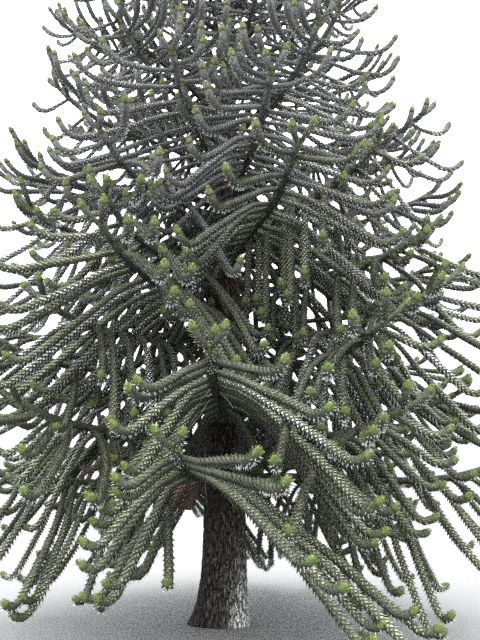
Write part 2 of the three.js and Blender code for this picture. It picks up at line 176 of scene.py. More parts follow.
# Finer growth, which the solids leave out
WANDER = 2.2  # degrees by which a shoot strays from its even curve
WANDER_LENGTH = 0.7
WANDER_SETS_IN = 0.3
STEEPEST = -86
INNER_SHARES = (0.13, 0.20, 0.27)  # where the older shoots near the trunk grow, as shares of the reach
INNER_LENGTH = 0.62  # of the longest shoot
INNER_LENGTH_VARIES = 0.2
INNER_SHARE_VARIES = 0.02
INNER_HANG = (-80, -56)  # of the innermost and the outermost of them
INNER_HANG_TOP = -4
INNER_HANG_LEVELS = (0.35, 0.9)
INNER_TIPS_ABOVE = 1.45
INNER_SLANT = 1.2  # their greatest length, as a share of the height above that
INNER_ABOVE = 2.1  # boughs lower than this have lost them
END_SHOOTS = [(-34, 0.30, 0.985), (34, 0.30, 0.985)]  # turn, length, share of the bough
END_SHOOT_ELEVATIONS_LOW = (14, 60)
END_SHOOT_ELEVATIONS_TOP = (40, 80)
END_SHOOT_VARIES = 0.25
END_SHOOT_SIZE_TOP = 0.7
END_SHOOT_SPREAD = 1.3  # of its turn at its root
END_SHOOT_SWING = 0.5  # of its turn, lost again by its tip
ROOM = 0.15  # across the space that a shoot keeps free of other boughs' shoots
CROWDED = 0.25  # the share of its length in which a shoot may touch those
CROWDED_LATER = 0.12  # the same for the boughs that fill the gaps
UNCROWDED = 0.08  # a share that needs no further try
TRIES = ((1, 0), (1, 8), (1, -8), (0.85, 4), (1, 16), (0.7, 0), (0.7, 12), (0.5, 4))  # length, lift
SHORTEST_SHOOT = 0.16

# Boughs that fill the gaps between those of the solids
APART_LATER_LOW = 0.50  # how far apart such a bough stands from all others
APART_LATER_LOW_LEVELS = (0.1, 0.2)
APART_LATER_MIDDLE = 0.46
APART_LATER_TOP = 0.58
APART_LATER_TOP_LEVELS = (0.45, 0.65)
REACH_LATER = 0.95
REACH_LATER_RIGHT = 1.07  # halfway up, towards +X
HALFWAY_FROM = (0.28, 0.36)
HALFWAY_TO = (0.50, 0.42)
HANG_LATER = 1.3
HANG_LATER_FROM = (0.08, 0.14)
HANG_LATER_TO = (0.5, 0.3)
CURTAINS = {(8, 1): 2.3, (6, 1): 1.5}  # whorl and place of boughs whose shoots hang down far
CURTAIN_ROOT_BEND = 0.45

# Leaves
LEAF_LENGTH = 0.047
LEAF_HALF_WIDTH = 0.0125
LEAF_TILT = 38  # between a leaf and its shoot
LEAF_TILT_AT_ROOT = 5  # more of it on the older part of a shoot
LEAF_TILT_EVEN_AT = 0.4
LEAF_TURN_VARIES = 5
LEAF_TILT_VARIES = 6
LEAF_SIZE_VARIES = 0.1
UNDER_TILT = 8  # by which the leaves of the underside stand off further
FRINGE_TILT = 16  # and those near the tips of shoots once more
FRINGE_SIZE = -0.12
FRINGE_NARROWER = 0.62
FRINGE_LENGTH = 0.38
LEAF_KEEL = 0.12
LEAF_WIDEST = 0.38
LEAVES_IN_RING = 5
RING_STEP_LOW = 0.0220
RING_STEP_TOP = 0.0282
RING_STEP_LEVELS = (0.2, 0.6)
INNER_RING_STEP = 0.040  # on shoots near the trunk
RING_DRIFT = 5.0
THICKNESS_TOP = 0.86  # of a shoot, as a share of that of a low one
THICKNESS_LEVELS = (0.15, 0.6)
ROOT_SIZE = 0.65  # of a shoot's leaves and core at its root, as a share of the full size
FULL_SIZE_AT = 0.65  # the share of the shoot at which that is reached
END_SIZE = 0.9  # of the last mature leaves
END_SIZE_LENGTHS = (0.3, 0.05)
YEAR_GROWTH = 0.29
YEAR_NECK = 0.035
YEAR_NECK_DEPTH = 0.24
YOUNG_LENGTH = 0.054
YOUNG_RING_STEP = 0.0125
YOUNG_SIZE = 0.62
YOUNG_SIZE_LOSS = 0.10  # by the very tip
YOUNG_TILTS = (26, -62)
YOUNG_ROOTS = 0.80  # how far out they are rooted, as a share of the core's radius
YOUNG_CORE_LOSS = 0.9
YOUNG_SHAPE = (0.9, 0.95)  # length and width
FRESH_LENGTH = 0.10
CORE_RADIUS = 0.038
LEAF_ROOTS = 0.74
CORE_SIDES = 4
CORE_STEP = 0.24
CORE_END_STEP = 0.09  # within CORE_END of the tip
CORE_END = 0.32
CORE_END_SHARE = 0.6  # of a short shoot
GREEN_CORE = 0.075
GREEN_CORE_ENDS = (0.05, 0.018)  # before the tip, where it narrows and where it ends
GREEN_CORE_NARROWS = 0.6
DEAD_CORE_END = 0.02
GREENER_LENGTH = 0.45  # of a shoot's end, where grey leaves of painted sheen give way to green ones
UPPER_ABOVE = 0.5  # how far up a leaf stands out for it to count as one of the upper side, whose tint is swapped for painted light
# How far down a leaf stands out for it to count as one of the underside, whose tint is swapped for a darker
# one as painted shade
UNDER_BELOW = -0.3
# How far down a leaf near a tip stands out for it to be pale, a painted highlight of the sky's light on the
# fringe
FRINGE_BELOW = -0.5

# Boughs' wood
BOUGH_ROOT_RADIUS = 0.047
BOUGH_TIP_RADIUS = 0.013
BOUGH_TAPER_POWER = 0.75
BOUGH_SIDES = 7
BOUGH_STEP = 0.1
BOUGH_STARTS_INSIDE = 0.6  # of the trunk's radius
BOUGH_ENDS_AT = 0.985
THINNEST_BOUGH = 0.62  # root radius of a very short bough, as a share of the longest one's
COLLAR_SWELL = 0.55
COLLAR_LENGTH = 0.12
BOUGH_LUMPS = 0.11
BOUGH_LUMP_STEP = 0.07
BOUGH_SCARS = 0.05
BOUGH_SCAR_STEP = 0.11
STEM_STARTS_AT = 0.26  # the share of its reach from which a bough is leafy itself
STEM_ROOT_SIZE = 0.42

# Colours
LEAF_KINDS = [  # name, colour, roughness, specular
    # the darkest tint: painted shade on the inner shoots deep in the crown and on the undersides of dark
    # sprays
    ("deep", (0.042, 0.045, 0.037), 0.45, 0.5),
    ("dark", (0.100, 0.115, 0.072), 0.40, 0.5),
    ("mid", (0.165, 0.185, 0.118), 0.38, 0.5),
    ("light", (0.285, 0.315, 0.200), 0.38, 0.5),
    # grey tints of high sprays: painted sheen, the bright sky's glare on the waxy leaves
    ("slate", (0.300, 0.299, 0.304), 0.38, 0.5),
    ("grey", (0.700, 0.707, 0.710), 0.36, 0.5),
    # pale leaves of the fringe under a shoot's end: painted highlight of the sky's light on their edges
    ("under", (0.50, 0.52, 0.51), 0.40, 0.5),
    ("fresh", (0.160, 0.196, 0.096), 0.42, 0.5),
    ("young", (0.118, 0.165, 0.034), 0.5, 0.25),
    ("dead", (0.17, 0.078, 0.057), 0.75, 0.5),
]
LEAF_SLOTS = {"young": "young_foliage", "dead": "dead_foliage"}  # and foliage for the others
# Painted light: leaves on a shoot's upper side take the first tint, brighter on green sprays as a painted
# highlight and darker green on grey ones to offset the strong light on top; the greener ends of grey shoots
# take it too. Painted shade: underside leaves take the second, darker tint.
PAINTED_TOP_LIGHT_AND_GREEN_ENDS = {"deep": "dark", "dark": "mid", "mid": "light", "light": "light", "slate": "mid", "grey": "light"}
PAINTED_UNDER_SHADE = {"deep": "deep", "dark": "deep", "mid": "dark", "light": "dark", "slate": "slate", "grey": "slate"}
# Shoot cores are their stems, coloured dark as painted shade between the leaves; high up they are grey,
# like the painted sheen of the grey sprays
CORE_WOOD_AND_SHADE_COLOURS = [(0.35, (0.028, 0.031, 0.023)), (0.65, (0.070, 0.078, 0.056))]
HIGH_CORE_WOOD_AND_SHADE_COLOURS = [(0.35, (0.056, 0.055, 0.056)), (0.65, (0.125, 0.124, 0.124))]
GREEN_CORE_COLOURS = [(0.35, (0.060, 0.078, 0.026)), (0.65, (0.100, 0.130, 0.044))]
BOUGH_COLOURS = [(0.32, (0.020, 0.018, 0.016)), (0.52, (0.055, 0.049, 0.044)), (0.70, (0.12, 0.112, 0.102))]
TWIG_COLOURS = [(0.3, (0.26, 0.25, 0.23)), (0.7, (0.55, 0.53, 0.49))]
WOOD_KINDS = [  # name, colours, scale of the streaks, slot, smooth or not
    ("shoot_wood", CORE_WOOD_AND_SHADE_COLOURS, 60, "limb_bark", True),
    ("shoot_wood_high", HIGH_CORE_WOOD_AND_SHADE_COLOURS, 60, "limb_bark", True),
    ("shoot_green", GREEN_CORE_COLOURS, 60, "young_foliage", True),
    ("bough_bark", BOUGH_COLOURS, 24, "limb_bark", True),
    ("dead_twigs", TWIG_COLOURS, 30, "dead_twigs", False),
]
SHEEN_GREY_SHARE = 0.92  # of the shoots high up, whose grey is a painted sheen of the sky's glare
SHEEN_GREY_LEVELS = (0.03, 0.33)
SLATE_UP_TO = 0.5  # of the grey ones
DARK_UP_TO = 0.34  # of the green ones
MID_UP_TO = 0.74
HIGH_CORES_ABOVE = 0.28
# Inner shoots below this level take the darkest tint and the darker cores, as painted shade inside the
# crown
INNER_PAINTED_SHADE_BELOW = 0.45
INNER_FADE = (0.3, 0.6)  # shares of the bough over which its inner shoots' rings draw closer
DULL_TIPS_LOW = 0.22  # the share of shoots whose tips aren't lime
DULL_TIPS_TOP = 0.75
DULL_TIPS_LEVELS = (0.15, 0.5)

# Dead growth
WITHERED_NEAR = (-1.5, -0.35, 1.92)  # where the ends of some shoots have died
WITHERED_WITHIN = 0.52
WITHERED_LENGTH = 0.4
FRONT_BOUGH = (0, 0)  # whorl and place of the bough where a few short shoots hang dead
DEAD_SHOOTS = [  # share of that bough, turn from it, elevations of root and tip
    (0.40, -40, -18, -88), (0.47, -62, -32, -72), (0.54, -84, -46, -88), (0.61, -106, -18, -72),
]
DEAD_SHOOT_LENGTH = 0.42
DEAD_SHOOT_LENGTHS = (0.7, 1.2)
DEAD_SHOOT_ROOT_SIZE = 0.8
TWIGS_BELOW = 5.2
TWIGS_ON_BOUGH = 5
TWIG_SHARES = (0.2, 0.75)
TWIG_LENGTHS = (0.2, 0.5)
TWIG_RADIUS = 0.0042
TWIG_TIP_SIZE = 0.35
TWIG_ELEVATION = -20
TWIG_ELEVATION_VARIES = 40
TWIG_SWERVE = 16
TWIG_SAG = 18
TWIG_KINK = 12

# Floor, light and camera
FLOOR_SIZE = 400
FLOOR_COLOUR = (0.12, 0.12, 0.117)
SKY_COLOUR = (0.94, 0.965, 1)
SKY_AT_HORIZON = 1.12
SKY_OVERHEAD = 7.6
SKY_FULL_AT = 0.9  # how far up, where 1 is straight overhead
SUN_STRENGTH = 6.5
SUN_WIDTH = 60
SUN_PLACE = (-0.25, -0.9, 1.6)
CAMERA_PLACE = (0.18, -7.85, 1.45)
CAMERA_PITCH = 14.9
CAMERA_LENS = 36


@dataclass
class Bough:
    whorl: int
    place: int
    level: float
    height: float
    azimuth: float
    reach: float
    rise: float
    slope: float
    lift: float
    roll: float
    droop: float = 1

    def chance(self, seed):
        return chance(self.whorl, self.place, seed)

    def swing(self, seed):
        return swing(self.whorl, self.place, seed)


@dataclass
class Shoot:
    side: int
    share: float
    seed: int
    length: float


@dataclass
class Line:
    """A grown line: points at even shares, and what gives its direction at a share."""

    points: np.ndarray
    length: float
    azimuth_at: object
    elevation_at: object

    def at(self, shares):
        own = np.linspace(0, 1, len(self.points))
        return np.stack([np.interp(shares, own, self.points[:, k]) for k in range(3)], axis=1)


def mix(a, b, share):
    return a + (b - a) * share


def smooth(low, high, value):
    share = np.clip((value - low) / (high - low), 0, 1)
    return share * share * (3 - 2 * share)


def chance(a, b, c):
    """A seeded number from 0 to 1 for three whole numbers."""
    x = math.sin(a * 127.1 + b * 311.7 + c * 74.7) * 43758.5453
    return x - math.floor(x)


def swing(a, b, c):
    """A seeded number from -1 to 1."""
    return 2 * chance(a, b, c) - 1


def heading(azimuth, elevation):
    """The direction of an azimuth and an elevation, or an array of them."""
    azimuth, elevation = np.broadcast_arrays(np.radians(azimuth), np.radians(elevation))
    level = np.cos(elevation)
    return np.stack([np.sin(azimuth) * level, -np.cos(azimuth) * level, np.sin(elevation)], axis=-1)


def trunk_radius(z):
    taper = 1 - (z / TRUNK_VANISH_HEIGHT) ** TRUNK_TAPER_POWER
    return np.maximum(TRUNK_TIP_RADIUS, TRUNK_RADIUS * taper) + FLARE_RADIUS * np.exp(-z / FLARE_HEIGHT)


def crown_reach(z):
    share = min(1.0, max(0.0, (z - CROWN_WIDEST) / (CROWN_TOP - CROWN_WIDEST)))
    return CROWN_REACH * (1 - share**CROWN_FALL) ** (1 / CROWN_ROUNDNESS)


def all_boughs():
    boughs = []
    for whorl, turn in enumerate(WHORL_TURNS):
        height = FIRST_WHORL + whorl * WHORL_STEP
        level = (height - FIRST_WHORL) / (CROWN_TOP - FIRST_WHORL)
        reach = crown_reach(height + TIP_ABOVE_ROOT * level)
        rise = mix(TIP_RISE_LOW, TIP_RISE_TOP, level**TIP_RISE_POWER)
        for place in range(BOUGHS_IN_WHORL):
            varies = 0 if place == 0 else 1
            front = place == 0 and whorl in FRONT_ROLLS
            stray = varies * AZIMUTH_VARIES * swing(whorl, place, 2)
            boughs.append(
                Bough(
                    whorl=whorl,
                    place=place,
                    level=level,
                    height=height + varies * HEIGHT_VARIES * swing(whorl, place, 1),
                    azimuth=turn + 360 / BOUGHS_IN_WHORL * place + stray,
                    reach=reach * (1 - varies * REACH_VARIES * chance(whorl, place, 3)),
                    rise=rise + varies * RISE_VARIES * swing(whorl, place, 4),
                    slope=mix(BOUGH_SLOPE_LOW, BOUGH_SLOPE_TOP, level),
                    lift=mix(TIP_LIFT_LOW, TIP_LIFT_TOP, smooth(*TIP_LIFT_LEVELS, level)),
                    roll=BOUGH_ROLL * (FRONT_ROLLS[whorl] if front else swing(whorl, place, 5)),
                )
            )
    return boughs


def apart(a, b):
    """How far apart two boughs stand, where 1 is far enough for the solids to keep both."""
    turn = (a.azimuth - b.azimuth + 540) % 360 - 180
    return math.hypot((a.height - b.height) / APART_IN_HEIGHT, turn / APART_IN_AZIMUTH)


def kept_boughs(boughs):
    """The boughs that the solids keep, from the lowest up, in the order of their names."""
    kept = []
    for bough in sorted(boughs, key=lambda b: (b.place > 0, b.whorl)):
        if all(apart(bough, other) > 1 for other in kept):
            kept.append(bough)
    return sorted(kept, key=lambda b: b.height)


def bough_line(bough, start, end, step):
    """A bough's line between two shares of its reach."""
    sag = bough.slope + bough.lift - bough.rise
    power = TIP_LIFT_POWER

    def elevation_at(part):
        share = mix(start, end, part)
        climb = bough.slope - 2 * sag * share + power * bough.lift * share ** (power - 1)
        return np.degrees(np.arctan(climb))

    shares = np.linspace(start, end, max(2, round(bough.reach * (end - start) / step)) + 1)
    above = bough.slope * shares - sag * shares**2 + bough.lift * shares**power
    points = heading(bough.azimuth, 0) * bough.reach * shares[:, None]
    points[:, 2] = bough.height + bough.reach * above
    length = float(np.linalg.norm(np.diff(points, axis=0), axis=1).sum())
    return Line(points, length, lambda part: bough.azimuth + 0 * part, elevation_at)


def bough_point(bough, share):
    return bough_line(bough, 0, share, bough.reach).points[-1]


def longest_shoot(level):
    return mix(LONGEST_SHOOT_LOW, LONGEST_SHOOT_TOP, smooth(*SHORTER_LEVELS, level))


def length_profile(share):
    outer = max(0, 2 * share - 1)
    inner = max(0, 1 - 2 * share)
    return (1 - SHORTER_OUTWARD * outer * outer) * (1 - SHORTER_INWARD * inner * inner)


def side_shoots(bough):
    shoots = []
    pairs = round(bough.reach * (1 - SHOOTS_START_AT) / SHOOT_PAIR_STEP)
    longest = longest_shoot(bough.level)
    for pair in range(pairs):
        for side in (-1, 1):
            seed = 20 + 2 * pair + (side > 0)
            along = (pair + 0.5 + 0.25 * bough.swing(seed)) / pairs
            share = mix(SHOOTS_START_AT, SHOOTS_END_AT, along)
            varied = 1 + LENGTH_VARIES * bough.swing(seed + 60) + ROLL_LENGTH * side * bough.roll
            shoots.append(Shoot(side, share, seed, longest * length_profile(share) * varied))
    return shoots


def inner_shoots(bough):
    """The older shoots between a bough's foliage and the trunk."""
    shoots = []
    if bough.height < INNER_ABOVE:
        return shoots
    usual = longest_shoot(bough.level) * INNER_LENGTH
    longest = INNER_SLANT * (bough.height - INNER_TIPS_ABOVE)
    for k, share in enumerate(INNER_SHARES):
        for side in (-1, 1):
            seed = 800 + 2 * k + (side > 0)
            moved = share + INNER_SHARE_VARIES * bough.swing(seed)
            varied = 1 + INNER_LENGTH_VARIES * bough.swing(seed + 60)
            shoots.append(Shoot(side, moved, seed, min(usual * varied, longest)))
    return shoots


def grow(start, length, azimuth_at, elevation_at):
    """A line grown from a point in small steps."""
    steps = max(3, math.ceil(length / FINE_STEP))
    shares = (np.arange(steps) + 0.5) / steps
    moves = heading(azimuth_at(shares), elevation_at(shares)) * (length / steps)
    points = np.vstack([start, start + np.cumsum(moves, axis=0)])
    return Line(points, length, azimuth_at, elevation_at)


def grow_evenly(start, length, azimuth, elevations, turn=0):
    """A line that turns evenly from its root to its tip."""
    return grow(start, length, lambda part: azimuth + turn * part, lambda part: mix(*elevations, part))


def bend_share(length, level):
    bend = mix(TIP_BEND_LENGTH_LOW, TIP_BEND_LENGTH_TOP, smooth(*TIP_BEND_LEVELS, level))
    return min(LONGEST_BEND, bend / length)


def shoot_line(bough, shoot, length, lifted):
    """The line of a side shoot, lifted by some degrees where it gives way to another."""
    level, seed = bough.level, shoot.seed
    hang = mix(HANG_LOW, HANG_TOP, smooth(*HANG_LEVELS, level))
    outer = max(0, (shoot.share - HANG_EASES_AT) / (1 - HANG_EASES_AT))
    hang = hang * bough.droop * mix(HANG_INNER, HANG_NEAR_TIP, outer * outer) + shoot.side * bough.roll
    if shoot.share < SHOOTS_START_AT:
        hang = mix(*INNER_HANG, shoot.share / SHOOTS_START_AT)
        hang = mix(hang, INNER_HANG_TOP, smooth(*INNER_HANG_LEVELS, level))
    hang = max(STEEPEST, hang + HANG_VARIES * bough.swing(seed + 120) + lifted)
    tip = mix(TIP_ELEVATION_LOW, TIP_ELEVATION_TOP, smooth(*TIP_ELEVATION_LEVELS, level))
    tip += TIP_ELEVATION_VARIES * bough.swing(seed + 180)
    root = mix(ROOT_ELEVATION_LOW, ROOT_ELEVATION_TOP, level)
    root_bend = CURTAIN_ROOT_BEND if bough.droop > HANG_LATER else ROOT_BEND
    spread = mix(SPREAD, SPREAD_NEAR_TIP, smooth(SPREAD_NARROWS_AT, 1, shoot.share))
    spread += SPREAD_VARIES * bough.swing(seed + 240)
    bend = bend_share(length, level)
    waves = length / WANDER_LENGTH
    phase = bough.chance(seed + 300)

    def stray(part, turn):
        wave = np.sin(2 * math.pi * (waves * part + phase + turn))
        return WANDER * wave * smooth(0, WANDER_SETS_IN, part)

    def azimuth_at(part):
        return bough.azimuth + shoot.side * (spread - SWING_FORWARD * part) + stray(part, 0)

    def elevation_at(part):
        low = mix(root, hang, smooth(0, root_bend, part))
        return mix(low, tip, smooth(1 - bend, 1, part)) + stray(part, 0.3)

    return grow(bough_point(bough, shoot.share), length, azimuth_at, elevation_at)


class Space:
    """Which shoot fills each small cell of the tree's box."""

    def __init__(self, low, high):
        self.low = np.array(low)
        self.high = np.array(high)
        self.size = np.ceil((self.high - self.low) / ROOM).astype(int) + 1
        self.owner = np.zeros(self.size, np.int32)

    def cells(self, points):
        places = ((points - self.low) / ROOM).astype(int)
        return tuple(np.clip(places, 0, self.size - 1).T)

    def crowding(self, points, number):
        """The share of a line's points that lie where another bough's growth is."""
        found = self.owner[self.cells(points)]
        return float(((found > 0) & (found != number)).mean())

    def holds(self, points):
        inside = (points > self.low) & (points < self.high)
        return bool(inside.all())

    def fill(self, points, number):
        self.owner[self.cells(points)] = number


def clear_of_trunk(points):
    away = np.hypot(points[:, 0], points[:, 1])
    bark = trunk_radius(np.clip(points[:, 2], 0, TRUNK_TOP))
    return bool((away > bark + TRUNK_CLEARANCE).all())


def fitted(bough, shoot, space, number, crowded):
    """The line of a side shoot where it finds room, or nothing."""
    best = None
    for length_share, lifted in TRIES:
        length = shoot.length * length_share
        if length < SHORTEST_SHOOT:
            continue
        line = shoot_line(bough, shoot, length, lifted)
        if not space.holds(line.points) or not clear_of_trunk(line.points[2:]):
            continue
        crowding = space.crowding(line.points[3:], number)
        if best is None or crowding < best[0] - UNCROWDED:
            best = (crowding, line)
        if crowding < UNCROWDED:
            break
    if best is None or best[0] > crowded:
        return None
    return best[1]


def fit_to_gap(bough):
    """Shortens a bough that fills a gap, or lengthens it halfway up on the right, and lets it hang."""
    right = max(0, math.sin(math.radians(bough.azimuth)))
    halfway = smooth(*HALFWAY_FROM, bough.level) * smooth(*HALFWAY_TO, bough.level)
    bough.reach *= mix(REACH_LATER, REACH_LATER_RIGHT, right * halfway)
    hanging = smooth(*HANG_LATER_FROM, bough.level) * smooth(*HANG_LATER_TO, bough.level)
    bough.droop = mix(1, HANG_LATER, hanging)


def least_apart(level):
    """How far a bough that fills a gap stands apart from all others."""
    low = mix(APART_LATER_LOW, APART_LATER_MIDDLE, smooth(*APART_LATER_LOW_LEVELS, level))
    return mix(low, APART_LATER_TOP, smooth(*APART_LATER_TOP_LEVELS, level))


def settle(boughs, kept, space):
    """The boughs with their side shoots' lines. The kept boughs choose first, the rest fill the gaps."""
    settled = []
    later = [bough for bough in boughs if bough not in kept]
    later.sort(key=lambda bough: (bough.whorl, bough.place) not in CURTAINS)
    for number, bough in enumerate(kept + later, start=1):
        curtain = CURTAINS.get((bough.whorl, bough.place))
        first = bough in kept or curtain is not None
        if curtain:
            bough.droop = curtain
        elif not first:
            fit_to_gap(bough)
            if any(apart(bough, other) < least_apart(bough.level) for other, _ in settled):
                continue
        crowded = CROWDED if first else CROWDED_LATER
        wanted = side_shoots(bough) + inner_shoots(bough)
        lines = [(shoot, fitted(bough, shoot, space, number, crowded)) for shoot in wanted]
        found = [(shoot, line) for shoot, line in lines if line is not None]
        stem = bough_line(bough, 0.1, 1, FINE_STEP)
        space.fill(stem.points, number)
        for _, line in found:
            space.fill(line.points, number)
        settled.append((bough, found))
    return settled


@dataclass
class Kind:
    """One kind of thing, gathered into one piece, and the nodes whose place it takes."""

    name: str
    material: bpy.types.Material
    slot: str
    even: bool = False
    points: list = field(default_factory=list)
    triangles: list = field(default_factory=list)
    nodes: set = field(default_factory=set)
    count: int = 0

    def add(self, points, triangles, nodes):
        self.points.append(points)
        self.triangles.append(triangles + self.count)
        self.nodes |= set(nodes)
        self.count += len(points)


def add_node(tree, kind, inputs, **settings):
    """A node with its settings, and its inputs linked to a socket or set to a value."""
    node = tree.nodes.new(kind)
    for key, value in settings.items():
        setattr(node, key, value)
    for key, value in inputs.items():
        if isinstance(value, bpy.types.NodeSocket):
            tree.links.new(value, node.inputs[key])
        else:
            node.inputs[key].default_value = value
    return node


def map_range(tree, source, low, high, to_low=0.0, to_high=1.0):
    """A value moved from one range into another, and held inside it."""
    ends = {"From Min": low, "From Max": high, "To Min": to_low, "To Max": to_high}
    return add_node(tree, "ShaderNodeMapRange", {"Value": source, **ends}).outputs[0]


def multiplied(tree, a, b):
    return add_node(tree, "ShaderNodeMath", {0: a, 1: b}, operation="MULTIPLY").outputs[0]


def scaled(tree, colour, factor):
    inputs = {0: colour, "Scale": factor}
    return add_node(tree, "ShaderNodeVectorMath", inputs, operation="SCALE").outputs[0]


def blended(tree, factor, a, b):
    """The colour a where the factor is 0, and b where it is 1."""
    return add_node(tree, "ShaderNodeMix", {"Factor": factor, 6: a, 7: b}, data_type="RGBA").outputs[2]


def noise(tree, place, scale, detail, roughness):
    inputs = {"Vector": place, "Scale": scale, "Detail": detail, "Roughness": roughness}
    return add_node(tree, "ShaderNodeTexNoise", inputs).outputs["Fac"]


def ramp(tree, source, stops):
    node = tree.nodes.new("ShaderNodeValToRGB")
    elements = node.color_ramp.elements
    while len(elements) < len(stops):
        elements.new(0.5)
    for element, (place, colour) in zip(elements, stops):
        element.position = place
        element.color = (*colour, 1)
    tree.links.new(source, node.inputs[0])
    return node.outputs[0]


def new_material(name, roughness, specular=0.5):
    material = bpy.data.materials.new(name)
    material.use_nodes = True
    shader = material.node_tree.nodes["Principled BSDF"]
    shader.inputs["Roughness"].default_value = roughness
    shader.inputs["Specular IOR Level"].default_value = specular
    return material, material.node_tree, shader


def plain_material(name, colour, roughness, specular=0.5):
    material, _, shader = new_material(name, roughness, specular)
    shader.inputs["Base Color"].default_value = (*colour, 1)
    return material


def cover(tree, shader, colour, height, strength, distance):
    """Gives a shader its colour, and fine bumps from a height."""
    bump = add_node(tree, "ShaderNodeBump", {"Height": height, "Strength": strength, "Distance": distance})
    tree.links.new(colour, shader.inputs["Base Color"])
    tree.links.new(bump.outputs[0], shader.inputs["Normal"])


def trunk_bark_material():
    """Cracked grey-brown bark, redder high up, with painted shade under the boughs, in its cracks and on
    the left, painted light on its plates and on the right, and with pale lichen low on the right."""
    material, tree, shader = new_material("trunk_bark", 0.93, 0.25)
    place = tree.nodes.new("ShaderNodeTexCoord").outputs["Object"]
    x, _, z = add_node(tree, "ShaderNodeSeparateXYZ", {0: place}).outputs
    drawn = add_node(tree, "ShaderNodeMapping", {"Vector": place, "Scale": (1, 1, BARK_STRETCH)}).outputs[0]
    streaks = noise(tree, drawn, 38, 8, 0.65)
    old = ramp(tree, streaks, OLD_BARK_COLOURS)
    young = ramp(tree, streaks, YOUNG_BARK_COLOURS)
    # Painted shade on the bark under the boughs
    shaded = scaled(tree, old, map_range(tree, z, *PAINTED_SHADE_UNDER_BOUGHS))
    bark = blended(tree, map_range(tree, z, *YOUNG_BARK_HEIGHTS), shaded, young)

    low_right = multiplied(tree, map_range(tree, z, *LICHEN_HEIGHTS), map_range(tree, x, *LICHEN_RIGHT))
    patches = {0: low_right, 1: LICHEN_LEAN, 2: noise(tree, drawn, 45, 6, 0.7)}
    patchy = add_node(tree, "ShaderNodeMath", patches, operation="MULTIPLY_ADD").outputs[0]
    spotted = blended(tree, map_range(tree, patchy, *LICHEN_EDGES), bark, LICHEN_COLOUR)

    cells = {"Vector": drawn, "Scale": 34}
    edges = add_node(tree, "ShaderNodeTexVoronoi", cells, feature="DISTANCE_TO_EDGE").outputs["Distance"]
    # Painted shade in the cracks and on the left, painted light on the plates and on the right
    painted_light_and_shade = multiplied(tree, map_range(tree, edges, *PAINTED_CRACK_SHADE), map_range(tree, x, *PAINTED_SIDE_SHADE))
    cover(tree, shader, scaled(tree, spotted, painted_light_and_shade), streaks, 0.75, 0.01)
    return material


def wood_material(name, stops, scale):
    """Bare wood whose colour varies along fine streaks."""
    material, tree, shader = new_material(name, 0.9, 0.25)
    place = tree.nodes.new("ShaderNodeTexCoord").outputs["Object"]
    streaks = noise(tree, place, scale, 6, 0.6)
    cover(tree, shader, ramp(tree, streaks, stops), streaks, 0.6, 0.006)
    return material


leaf = {
    name: Kind(f"leaves_{name}", plain_material(f"leaf_{name}", *looks), LEAF_SLOTS.get(name, "foliage"))
    for name, *looks in LEAF_KINDS
}
wood = {
    name: Kind(name, wood_material(name, stops, scale), slot, even)
    for name, stops, scale, slot, even in WOOD_KINDS
}
trunk = Kind("trunk_bark", trunk_bark_material(), "bark", even=True)


def square_to(azimuths, elevations):
    """The directions of places on a line, each with the two that stand square to it."""
    bearing = np.radians(azimuths)
    axis = heading(azimuths, elevations)
    across = np.stack([np.cos(bearing), np.sin(bearing), np.zeros(len(bearing))], axis=-1)
    return axis, across, np.cross(axis, -across)


# Small seeded differences between leaves, dealt in turn
DEAL = np.random.default_rng(11).uniform(-1, 1, (8192, 3))


def leaves(line, shares, sizes, tilts, roots, seed, shape=(1, 1), fringe=0):
    """Keeled pointed leaves, four points each, in rings round a line, and how far up each stands out.
    A fringe makes the lower ones of a ring stand off further and grow narrower."""
    rings = len(shares)
    centres = line.at(shares)[:, None, :]
    ways = square_to(line.azimuth_at(shares), line.elevation_at(shares))
    axis, across, upright = (way[:, None, :] for way in ways)
    dealt = DEAL[(seed * 131 + np.arange(rings * LEAVES_IN_RING)) % len(DEAL)]
    dealt = dealt.reshape(rings, LEAVES_IN_RING, 3)
    ring = np.arange(rings)[:, None]
    turns = 360 / LEAVES_IN_RING * (np.arange(LEAVES_IN_RING)[None, :] + ring / 2)
    turns = np.radians(turns + RING_DRIFT * ring + LEAF_TURN_VARIES * dealt[..., 0])[..., None]
    radial = across * np.cos(turns) + upright * np.sin(turns)
    sideways = upright * np.cos(turns) - across * np.sin(turns)
    below = np.maximum(0, -radial[..., 2])
    fringe = np.broadcast_to(fringe, (rings,))[:, None] * below
    lean = tilts[:, None] + UNDER_TILT * below + FRINGE_TILT * fringe + LEAF_TILT_VARIES * dealt[..., 1]
    tilt = np.radians(lean)[..., None]
    out = radial * np.sin(tilt) + axis * np.cos(tilt)
    inward = axis * np.sin(tilt) - radial * np.cos(tilt)
    size = (sizes[:, None] * (1 + LEAF_SIZE_VARIES * dealt[..., 2] + FRINGE_SIZE * fringe))[..., None]
    root = centres + radial * roots[:, None, None]
    tip = root + out * size * LEAF_LENGTH * shape[0]
    middle = root + (out * LEAF_WIDEST + inward * LEAF_KEEL) * size * LEAF_LENGTH * shape[0]
    half = sideways * size * LEAF_HALF_WIDTH * shape[1] * (1 - FRINGE_NARROWER * fringe)[..., None]
    points = np.stack([root, middle - half, tip, middle + half], axis=2).reshape(-1, 4, 3)
    return points, radial[..., 2].ravel()


def leaf_faces(count):
    first = 4 * np.arange(count)[:, None]
    return np.concatenate([first + [0, 1, 2], first + [0, 2, 3]])


